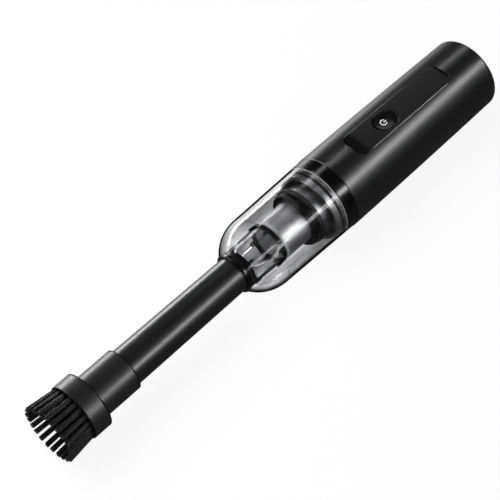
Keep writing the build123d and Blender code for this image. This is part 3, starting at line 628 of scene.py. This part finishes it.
def join_all(pieces: Sequence[Object], name: str) -> Object:
    """Joins pieces into the first one.

    Args:
        pieces: what is joined.
        name: the joined piece's name.

    Returns:
        The joined piece.
    """
    select_only(*pieces)
    bpy.ops.object.join()
    return settle(pieces[0], name)


def thicken(piece: Object, thickness: float) -> None:
    """Gives a flat piece its thickness.

    Args:
        piece: the active object.
        thickness: how far it grows down from its face.
    """
    solid = piece.modifiers.new("thickness", "SOLIDIFY")
    solid.thickness = thickness
    solid.offset = -1.0
    bpy.ops.object.modifier_apply(modifier=solid.name)


def give(piece: Object, finish: Finish) -> None:
    """Gives a new piece its one finish and reports it.

    Args:
        piece: the finished piece.
        finish: its finish.
    """
    piece.data.materials.clear()
    piece.data.materials.append(finish.build())
    LOG.info("modelled %s with %s: %d faces", piece.name, finish.name, len(piece.data.polygons))


def dress(finish: Finish, *nodes: str) -> None:
    """Gives CAD nodes a finish through their slots and reports them.

    Args:
        finish: the finish, built once for all of them.
        nodes: the nodes' names.
    """
    material = finish.build()
    for node in nodes:
        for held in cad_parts[node].material_slots:
            held.material = material
        LOG.info("dressed %s with %s", node, finish.name)


def radius_of(node: str) -> float:
    """Returns the radius of a round CAD node, from the height of its box."""
    low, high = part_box(node)
    return (high.z - low.z) / 2


def turned_piece(name: str, outline: Sequence[tuple[float, float]], sides: int,
                 closed: bool) -> Object:
    """Models a round piece as one circle, extruded from station to station along X and resized.

    Args:
        name: the piece's name.
        outline: stations as (x, radius), in the order they are drawn.
        sides: edges round the piece.
        closed: whether the last station joins the first, as round the wall of a ring.

    Returns:
        The piece, closed and with its normals outwards.
    """
    select_only()
    x, radius = outline[0]
    bpy.ops.mesh.primitive_circle_add(vertices=sides, radius=radius, location=(x, 0, AXIS_HEIGHT),
                                      rotation=(0, math.pi / 2, 0),
                                      fill_type="NOTHING" if closed else "NGON")
    piece = bpy.context.object
    bpy.ops.object.mode_set(mode="EDIT")
    bpy.ops.mesh.select_all(action="SELECT")
    stations = list(outline[1:]) + ([outline[0]] if closed else [])
    for next_x, next_radius in stations:
        bpy.ops.mesh.extrude_region_move(TRANSFORM_OT_translate={"value": (next_x - x, 0, 0)})
        ratio = next_radius / radius
        bpy.ops.transform.resize(value=(1, ratio, ratio),
                                 center_override=(next_x, 0, AXIS_HEIGHT))
        x, radius = next_x, next_radius
    bpy.ops.mesh.select_all(action="SELECT")
    bpy.ops.mesh.remove_doubles(threshold=1e-6)
    bpy.ops.mesh.normals_make_consistent(inside=False)
    bpy.ops.object.mode_set(mode="OBJECT")
    return settle(piece, name)


def flat_strip(name: str, middle: Sequence[float], length: float, width: float, cuts: int,
               tilt: float = 0.0) -> Object:
    """Models a flat strip along X from a plane that is cut into short lengths.

    Args:
        name: the strip's name.
        middle: its middle.
        length: its size along X.
        width: its size across.
        cuts: how often it is cut each way.
        tilt: its turn about X.

    Returns:
        The strip.
    """
    select_only()
    bpy.ops.mesh.primitive_plane_add(size=1.0, location=middle, rotation=(tilt, 0, 0))
    strip = bpy.context.object
    strip.scale = (length, width, 1)
    bpy.ops.object.mode_set(mode="EDIT")
    bpy.ops.mesh.select_all(action="SELECT")
    bpy.ops.mesh.subdivide(number_cuts=cuts)
    bpy.ops.object.mode_set(mode="OBJECT")
    return settle(strip, name)


def copy_of(piece: Object, change: Matrix) -> Object:
    """Copies a piece with its own mesh.

    Args:
        piece: the piece to copy.
        change: the matrix that moves the copy's mesh.

    Returns:
        The copy.
    """
    made = piece.copy()
    made.data = piece.data.copy()
    made.data.transform(change)
    bpy.context.scene.collection.objects.link(made)
    return made


# ---------------- sub-assemblies


@dataclass
class MainBody:
    """Shell, panel, gloss ring, tail cap and everything that the shell holds."""

    line_tilt: float = math.radians(33)
    line_width: float = 0.3 * MM
    line_thickness: float = 0.04 * MM
    line_front_inset: float = 11.8 * MM
    line_rear_inset: float = 6.5 * MM
    line_cuts: int = 3

    def build(self) -> None:
        """Dresses the body's nodes, outside first."""
        dress(MouldedPlastic("satin_black_shell", (0.007, 0.007, 0.0075), 0.3), "body_shell")
        dress(MouldedPlastic("satin_panel", (0.004, 0.004, 0.0042), 0.3, specular=0.1, coat=0.6,
                             coat_roughness=0.09, edge_round=0.9 * MM), "control_panel")
        dress(MouldedPlastic("piano_black_ring", (0.001, 0.001, 0.001), 0.17, marks=0.03,
                             grain_depth=0.0005 * MM, specular=0.35), "front_ring")
        dress(MouldedPlastic("matt_black_caps", (0.008, 0.008, 0.008), 0.45), "tail_cap")
        dress(MouldedPlastic("plated_bulkhead", (0.36, 0.36, 0.365), 0.36, marks=0.04,
                             metallic=0.9), "front_bulkhead")
        dress(MouldedPlastic("smoked_lens", (0.01, 0.01, 0.012), 0.15), "indicator_lens")
        self.make_edge_line()
        self.dress_inside()

    def make_edge_line(self) -> None:
        """Models the fine bright bevel along the panel's edge on the main lamp's side."""
        low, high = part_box("control_panel")
        start, end = low.x + self.line_front_inset, high.x - self.line_rear_inset
        across = self.line_width / 2 * math.cos(self.line_tilt)
        rise = self.line_width / 2 * math.sin(self.line_tilt) + self.line_thickness
        middle = ((start + end) / 2, low.y + across, high.z + rise)
        line = flat_strip("panel_edge_line", middle, end - start, self.line_width, self.line_cuts,
                          self.line_tilt)
        thicken(line, self.line_thickness)
        give(line, MouldedPlastic("polished_edge", (0.07, 0.07, 0.072), 0.28, metallic=0.6))
        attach(line, "machine")

    def dress_inside(self) -> None:
        """Dresses what shows only when the cup is off or through the slots."""
        along, round_it = Streak.ALONG_THE_AXIS, Streak.ROUND_THE_AXIS
        dress(BoardLaminate("green_board", (0.01, 0.09, 0.035), (0.05, 0.22, 0.09)),
              "main_board", "charge_board")
        dress(DrawnMetal("tinned_steel", (0.55, 0.55, 0.54), 0.35, along),
              "tact_switch", "charge_socket")
        dress(DrawnMetal("plated_steel", (0.5, 0.5, 0.5), 0.28, round_it),
              "motor_can", "rotor_shaft", "screws")
        dress(DrawnMetal("nickel", (0.6, 0.58, 0.53), 0.3, along), "cell_tabs")
        dress(MouldedPlastic("grey_nylon", (0.06, 0.06, 0.065), 0.5, grain_depth=0.01 * MM),
              "motor_mount", "motor_cradle", "fan_shroud", "battery_tray")
        dress(MouldedPlastic("fan_nylon", (0.18, 0.18, 0.19), 0.45), "impeller")
        dress(MouldedPlastic("cell_sleeve", (0.02, 0.09, 0.22), 0.3, coat=0.2),
              "battery_cell_1", "battery_cell_2")


@dataclass
class DustCup:
    """Clear cup, its neck ring, the inlet duct and the stepped filter inside."""

    # Size of the white bead that paints a highlight round the cup's rear end.
    bead_back: float = 1.2 * MM
    bead_width: float = 0.45 * MM
    bead_rise: float = 0.03 * MM
    bead_sides: int = 128
    flange_length: float = 4.7 * MM
    mesh_pitch: float = 0.8 * MM

    def build(self) -> None:
        """Dresses the cup and what shows through it."""
        dress(ClearPlastic("clear_cup", (0.93, 0.93, 0.94), 0.035, 20.0, 0.93, mirror=0.22),
              "dust_cup")
        # The duct takes the same streaks and band of painted shade, more faintly.
        dress(ClearPlastic("smoked_duct", (0.80, 0.80, 0.81), 0.06, 60.0, 0.85, mirror=0.5,
                           marks_and_shade=0.3), "inlet_duct")
        dress(MouldedPlastic("gloss_black_rings", (0.004, 0.004, 0.004), 0.16, marks=0.04,
                             specular=0.3), "neck_ring", "duct_ring")
        dress(DrawnMetal("perforated_steel", (0.74, 0.74, 0.75), 0.4, Streak.ROUND_THE_AXIS,
                         hole_pitch=self.mesh_pitch), "filter_mesh")
        flange_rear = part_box("filter_seal")[0].x
        dress(DrawnMetal("brushed_filter_frame", (0.6, 0.6, 0.61), 0.3, Streak.ROUND_THE_AXIS,
                         bare_before=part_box("filter_mesh")[0].x,
                         black_band=(flange_rear - self.flange_length, flange_rear)),
              "filter_frame")
        dress(MouldedPlastic("black_rubber", (0.008, 0.008, 0.008), 0.55, grain_depth=0.01 * MM,
                             specular=0.35), "filter_seal", "cup_seal", "motor_damper")
        dress(PleatedPaper("filter_paper", (0.75, 0.74, 0.7), (0.35, 0.33, 0.3)),
              "filter_element")
        self.make_painted_highlight_bead()

    def make_painted_highlight_bead(self) -> None:
        """Models a white bead round the cup's rear end, a painted highlight where the clear edge
        gathers the light.
        """
        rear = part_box("dust_cup")[1].x - self.bead_back
        front = rear - self.bead_width
        outer = radius_of("dust_cup") + self.bead_rise
        inner = outer - 2 * self.bead_rise
        outline = ((rear, inner), (rear, outer), (front, outer), (front, inner))
        bead = turned_piece("cup_painted_highlight_bead", outline, self.bead_sides, closed=True)
        # Painted highlight: the bead is near white, so the clear edge reads as catching the light.
        give(bead, MouldedPlastic("painted_highlight_white", (0.8, 0.8, 0.8), 0.25, drift=0.4))
        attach(bead, "cup")


@dataclass
class ExtensionTube:
    """Straight tube between the cup and the brush."""

    tint: Colour = (0.008, 0.008, 0.0085)
    roughness: float = 0.32

    def build(self) -> None:
        """Dresses the tube."""
        dress(MouldedPlastic("satin_black_tube", self.tint, self.roughness), "extension_tube")


@dataclass
class DustingBrush:
    """Sleeve, collar, tuft ring and the round tufts of nylon filaments."""

    tufts: int = 24
    seed: int = 7
    filament_radius: float = 0.62 * MM
    filament_sides: int = 9
    per_ring: int = 6
    spacing: float = 1.22 * MM
    inside_gap: float = 0.704 * MM
    inside_filler: float = 0.22
    outside_notch: float = 1.62 * MM
    outside_filler: float = 0.35
    root_radius: float = 18.5 * MM
    tip_radius: float = 21.5 * MM
    tip_spread: float = 1.12
    uneven: float = 0.8 * MM
    root_depth: float = 1.5 * MM
    backing: float = 3.0 * MM
    ring_sides: int = 96
    # Sizes of the black lips that paint the shade in the joints behind the sleeve's and the collar's
    # rims.
    shade_lip_width: float = 0.6 * MM
    shade_lip_rise: float = 0.04 * MM
    shade_lip_play: float = 0.12 * MM
    shade_lip_clearance: float = 0.01 * MM

    def make_filament(self, root: float, tip: float) -> Object:
        """Models one filament that narrows to a rounded end.

        Args:
            root: x of its end in the backing.
            tip: x of its free end.

        Returns:
            The filament, on the axis.
        """
        r = self.filament_radius
        reach = root - tip
        stations = ((root, r), (root - 0.5 * reach, 0.98 * r), (tip + 1.2 * r, 0.92 * r),
                    (tip + 0.3 * r, 0.66 * r), (tip, 0.2 * r))
        made = turned_piece("filament", stations, self.filament_sides, closed=False)
        bpy.ops.object.shade_smooth()
        return made

    def tuft_places(self) -> list[tuple[float, float, float]]:
        """Lists a tuft's filaments: seven thick ones and two rings of fine ones that fill them up.

        Returns:
            Across, out and thickness of each.
        """
        rings = ((self.spacing, 0.0, 1.0), (self.inside_gap, 0.5, self.inside_filler),
                 (self.outside_notch, 0.5, self.outside_filler))
        places = [(0.0, 0.0, 1.0)]
        for distance, shift, thickness in rings:
            for step in range(self.per_ring):
                turn = 2 * math.pi * (step + shift) / self.per_ring
                places.append((distance * math.cos(turn), distance * math.sin(turn), thickness))
        return places

    def make_tufts(self, root: float, tip: float) -> Object:
        """Models the whole ring of tufts from copies of one filament.

        Args:
            root: x of the filaments' ends in the backing.
            tip: x of the longest filament's free end.

        Returns:
            The joined filaments.
        """
        draw = random.Random(self.seed)
        filament = self.make_filament(root, tip)
        reach = root - tip
        to_root = Matrix.Translation((-root, 0, -AXIS_HEIGHT))
        lift = Matrix.Translation((0, 0, AXIS_HEIGHT))
        strands = []
        for tuft in range(self.tufts):
            spun = Matrix.Rotation(2 * math.pi * tuft / self.tufts, 4, "X")
            lean_out = self.tip_radius + draw.uniform(-0.25, 0.1) * MM
            lean_side = draw.uniform(-0.25, 0.25) * MM
            for across, out, thickness in self.tuft_places():
                length = 1.0 - draw.random() ** 2 * self.uneven / reach
                spread = self.tip_spread + draw.uniform(-0.05, 0.05)
                rise_out = (lean_out + out * spread) - (self.root_radius + out)
                rise_side = across * spread + lean_side - across
                lean = Matrix.Identity(4)
                lean[1][0] = -rise_side / reach
                lean[2][0] = -rise_out / reach
                shorten = Matrix.Diagonal((length, thickness, thickness, 1))
                at_root = Matrix.Translation((root, across, self.root_radius + out))
                strands.append(copy_of(filament, lift @ spun @ at_root @ lean @ shorten @ to_root))
        bpy.data.objects.remove(filament)
        return join_all(strands, "tufts")

    def build(self) -> None:
        """Models the tufts with their backing and dresses the brush."""
        low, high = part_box("bristles")
        collar_radius, sleeve_radius = radius_of("tuft_ring"), radius_of("brush_sleeve")
        back, face = high.x, high.x - self.backing
        outline = ((back, sleeve_radius), (back, collar_radius),
                   (face, collar_radius), (face, sleeve_radius))
        backing = turned_piece("backing", outline, self.ring_sides, closed=True)
        tufts = self.make_tufts(back - self.root_depth, low.x)
        brush = join_all([tufts, backing], "nylon_tufts")
        give(brush, NylonFilament("black_nylon", (0.003, 0.003, 0.003), (0.014, 0.014, 0.014),
                                  0.38))
        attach(brush, "brush")
        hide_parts("bristles")
        dress(MouldedPlastic("satin_black_brush", (0.012, 0.012, 0.0125), 0.37),
              "brush_sleeve", "brush_collar", "tuft_ring")
        self.build_shade_lips()

    def build_shade_lips(self) -> None:
        """Lays a thin black lip of painted shade over the rear edge of the sleeve and of the collar.
        """
        lips = []
        for node, inner_node in (("brush_sleeve", "extension_tube"),
                                 ("brush_collar", "brush_sleeve")):
            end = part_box(node)[1].x
            front, rear, step = (end - self.shade_lip_width, end + self.shade_lip_play,
                                 end + self.shade_lip_clearance)
            inner = radius_of(inner_node) + self.shade_lip_play
            edge = radius_of(node) + self.shade_lip_clearance
            outer = edge + self.shade_lip_rise
            outline = ((front, edge), (front, outer), (rear, outer), (rear, inner),
                       (step, inner), (step, edge))
            lips.append(turned_piece("lip", outline, self.ring_sides, closed=True))
        shade_lips = join_all(lips, "brush_shade_lips")
        # Painted shade: the lips are near black and stand for the shadow in the gap behind each rim.
        give(shade_lips, MouldedPlastic("painted_shade_lip", (0.001, 0.001, 0.001), 0.6, specular=0.1))
        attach(shade_lips, "brush")


@dataclass
class PowerButton:
    """Dished round button with its power sign."""

    ring_radius: float = 2.4 * MM
    line: float = 0.62 * MM
    gap_angle: float = math.radians(34)
    bar_start: float = 0.1 * MM
    bar_end: float = 3.0 * MM
    bar_cuts: int = 6
    ink: float = 0.06 * MM
    sides: int = 60

    def middle(self) -> Vector:
        """Returns the middle of the button's top."""
        low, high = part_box("power_button")
        return Vector(((low.x + high.x) / 2, (low.y + high.y) / 2, high.z))

    def make_open_ring(self) -> Object:
        """Models the sign's ring, open towards the tail.

        Returns:
            The flat ring.
        """
        select_only()
        middle = self.middle()
        inner = self.ring_radius - self.line / 2
        bpy.ops.mesh.primitive_circle_add(vertices=self.sides, radius=inner, location=middle)
        ring = bpy.context.object
        bpy.ops.object.mode_set(mode="EDIT")
        bpy.ops.mesh.select_all(action="DESELECT")
        bpy.ops.object.mode_set(mode="OBJECT")
        for vertex in ring.data.vertices:
            vertex.select = abs(math.atan2(vertex.co.y, vertex.co.x)) < self.gap_angle
        bpy.ops.object.mode_set(mode="EDIT")
        bpy.ops.mesh.delete(type="VERT")
        bpy.ops.mesh.select_all(action="SELECT")
        bpy.ops.mesh.extrude_region_move(TRANSFORM_OT_translate={"value": (0, 0, 0)})
        ratio = (inner + self.line) / inner
        bpy.ops.transform.resize(value=(ratio, ratio, 1), center_override=middle)
        bpy.ops.object.mode_set(mode="OBJECT")
        return settle(ring, "sign_ring")

    def build(self) -> None:
        """Lays the sign on the dish, gives it the ink's thickness and dresses the button."""
        length = self.bar_end - self.bar_start
        bar_middle = self.middle() + Vector((self.bar_start + length / 2, 0, 0))
        ring = self.make_open_ring()
        bar = flat_strip("sign_bar", bar_middle, length, self.line, self.bar_cuts)
        sign = join_all([ring, bar], "power_sign")
        drape = sign.modifiers.new("drape", "SHRINKWRAP")
        drape.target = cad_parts["power_button"]
        drape.wrap_method = "PROJECT"
        drape.use_project_z = True
        drape.use_negative_direction = True
        drape.use_positive_direction = False
        drape.offset = self.ink
        bpy.ops.object.modifier_apply(modifier=drape.name)
        thicken(sign, self.ink)
        # Painted light: the printed sign has a faint glow, so it stays bright whatever lights it.
        give(sign, MouldedPlastic("sign_ink_with_painted_glow", (0.9, 0.9, 0.9), 0.5, grain_depth=0.002 * MM,
                                  glow=0.45))
        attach(sign, "button")
        dress(MouldedPlastic("black_button", (0.002, 0.002, 0.002), 0.3, specular=0.1, coat=0.1),
              "power_button")


# ---------------- studio


@dataclass(frozen=True)
class SoftLamp:
    """Soft rectangular lamp that faces the machine's axis.

    It reaches from start, its end towards the brush, to end. A strip only draws a highlight, and a
    lamp that is no strip gives diffuse light only.
    """

    name: str
    start: Place
    end: Place
    width: float
    watts: float
    is_strip: bool = True

    def hang(self) -> None:
        """Hangs the lamp."""
        start, end = Vector(self.start), Vector(self.end)
        data = bpy.data.lights.new(self.name, "AREA")
        data.shape = "RECTANGLE"
        data.size, data.size_y = (end - start).length, self.width
        data.energy = self.watts
        lamp = bpy.data.objects.new(self.name, data)
        lamp.visible_camera = False
        lamp.visible_diffuse = not self.is_strip
        lamp.visible_glossy = self.is_strip
        bpy.context.scene.collection.objects.link(lamp)
        along = (end - start).normalized()
        middle = (start + end) / 2
        out = middle - Vector((0, 0, AXIS_HEIGHT))
        out = (out - along * out.dot(along)).normalized()
        turned = Matrix((along, out.cross(along), out)).transposed().to_4x4()
        lamp.matrix_world = Matrix.Translation(middle) @ turned


@dataclass
class Studio:
    """Pale floor, white surround, soft lamps and the camera at the photograph's angle.

    A field with seen is what the camera looks at straight, and one with mirrored is what the
    machine's gloss reflects. A ramp reads low, high and the values that it gives at the two.
    """

    floor_width: float = 8.0
    floor_colour: float = 0.8
    seen_colour: float = 0.16
    seen_glow: float = 0.90
    mirrored_colour: float = 0.11
    mirrored_across: Ramp = (0.05, 0.30, 0.03, 3.6)
    mirrored_along: Ramp = (0.2, 0.42, 1.0, 0.08)
    wall_up: Ramp = (0.1, 0.3, 0.8, 0.0)
    wall_across: Ramp = (0.0, 0.5, 0.0, 0.6)
    wall_along: Ramp = (0.35, 0.55, 1.0, 0.3)
    overhead: float = 0.24
    mirrored_overhead: float = 0.036
    lamps: tuple[SoftLamp, ...] = (
        SoftLamp("main_strip", (-0.143, -0.765, 0.336), (0.831, -0.345, 0.640), 0.12, 7.2),
        SoftLamp("rim_strip", (-0.5, 0.98, 0.075), (0.42, 0.82, 0.065), 0.15, 7.0),
        SoftLamp("near_side_strip", (-1.15, -0.75, 0.42), (-0.40, -0.75, 0.42), 0.12, 5.0),
        SoftLamp("far_side_strip", (-1.15, 0.75, 0.50), (-0.40, 0.75, 0.50), 0.12, 5.0),
        SoftLamp("top_strip", (0.42, 0.47, 0.70), (0.95, 0.42, 0.66), 0.15, 1.1),
        SoftLamp("key", (-1.0, 0.65, 1.0), (0.0, 0.65, 1.0), 1.0, 9.0, is_strip=False))
    target: tuple[float, float] = (-19.611 * MM, 6.015 * MM)
    azimuth: float = math.radians(-46.764)
    elevation: float = math.radians(54.356)
    distance: float = 1075.27 * MM
    lens: float = 108.0
    sensor: float = 36.0

    def floor_material(self) -> Material:
        """Makes the floor's material: white to the camera, with the machine's faint shadow.

        Returns:
            The material.
        """
        surface = Surface("pale_floor")
        surface.tree.nodes.remove(surface.shader)
        x, y, _ = surface.split(surface.where)
        straight = surface.straight_view(AT_SURFACE)
        glossy = surface.node("ShaderNodeLightPath").outputs["Is Glossy Ray"]
        tone = surface.tone((self.floor_colour,) * 3, drift=0.02)
        real = surface.node("ShaderNodeBsdfDiffuse", {"Color": tone}).outputs[0]
        watched = surface.blend(straight, (self.mirrored_colour,) * 3, (self.seen_colour,) * 3)
        shown = surface.node("ShaderNodeBsdfDiffuse", {"Color": watched})
        mirrored = surface.calculate("MULTIPLY", surface.fit(y, *self.mirrored_across),
                                     surface.fit(x, *self.mirrored_along))
        strength = surface.node("ShaderNodeMix", {0: straight, 2: mirrored, 3: self.seen_glow})
        glow = surface.node("ShaderNodeEmission", {"Strength": strength.outputs[0]})
        both = surface.node("ShaderNodeAddShader", {0: shown.outputs[0], 1: glow.outputs[0]})
        is_watched = surface.calculate("MAXIMUM", straight, glossy)
        mixed = surface.mix_shaders(is_watched, real, both.outputs[0])
        surface.feed(surface.out, {"Surface": mixed})
        return surface.material

    def lay_floor(self) -> None:
        """Lays the floor under the machine."""
        select_only()
        bpy.ops.mesh.primitive_plane_add(size=self.floor_width)
        floor = settle(bpy.context.object, "floor")
        floor.data.materials.append(self.floor_material())

    def light_world(self) -> None:
        """Makes the surround: white to the camera, and to the rest bright low down behind."""
        world = bpy.data.worlds.new("studio")
        bpy.context.scene.world = world
        world.use_nodes = True
        world.node_tree.nodes.clear()
        sheet = Sheet(world.node_tree)
        x, y, z = sheet.split(sheet.node("ShaderNodeTexCoord").outputs["Generated"])
        low_behind = sheet.calculate("MULTIPLY", sheet.fit(z, *self.wall_up),
                                     sheet.fit(y, *self.wall_across))
        wall = sheet.calculate("MULTIPLY", low_behind, sheet.fit(x, *self.wall_along))
        glossy = sheet.node("ShaderNodeLightPath").outputs["Is Glossy Ray"]
        least = sheet.fit(glossy, 0.0, 1.0, self.overhead, self.mirrored_overhead)
        strength = sheet.calculate("MAXIMUM", sheet.calculate("MAXIMUM", wall, least),
                                   sheet.straight_view(AT_SURROUND))
        light = sheet.node("ShaderNodeBackground",
                           {"Color": (1.0, 1.0, 1.0), "Strength": strength})
        sheet.node("ShaderNodeOutputWorld", {"Surface": light.outputs[0]})

    def place_camera(self) -> None:
        """Places the camera at the photograph's direction, distance and framing."""
        data = bpy.data.cameras.new("camera")
        data.lens = self.lens
        data.sensor_width = self.sensor
        camera = bpy.data.objects.new("camera", data)
        bpy.context.scene.collection.objects.link(camera)
        back = Vector((math.cos(self.elevation) * math.sin(self.azimuth),
                       -math.cos(self.elevation) * math.cos(self.azimuth),
                       math.sin(self.elevation)))
        camera.location = Vector((*self.target, AXIS_HEIGHT)) + back * self.distance
        camera.rotation_euler = (-back).to_track_quat("-Z", "Y").to_euler()
        bpy.context.scene.camera = camera

    def build(self) -> None:
        """Sets up the whole studio."""
        self.lay_floor()
        self.light_world()
        for lamp in self.lamps:
            lamp.hang()
        self.place_camera()
        bpy.context.scene.view_settings.view_transform = "Standard"


def main() -> None:
    """Builds the sub-assemblies in order and then the studio."""
    logging.basicConfig(level=logging.INFO, format="%(name)s: %(message)s")
    for assembly in (MainBody(), DustCup(), ExtensionTube(), DustingBrush(), PowerButton(),
                     Studio()):
        assembly.build()
        LOG.info("built %s", type(assembly).__name__)


if __name__ == "__main__":
    main()
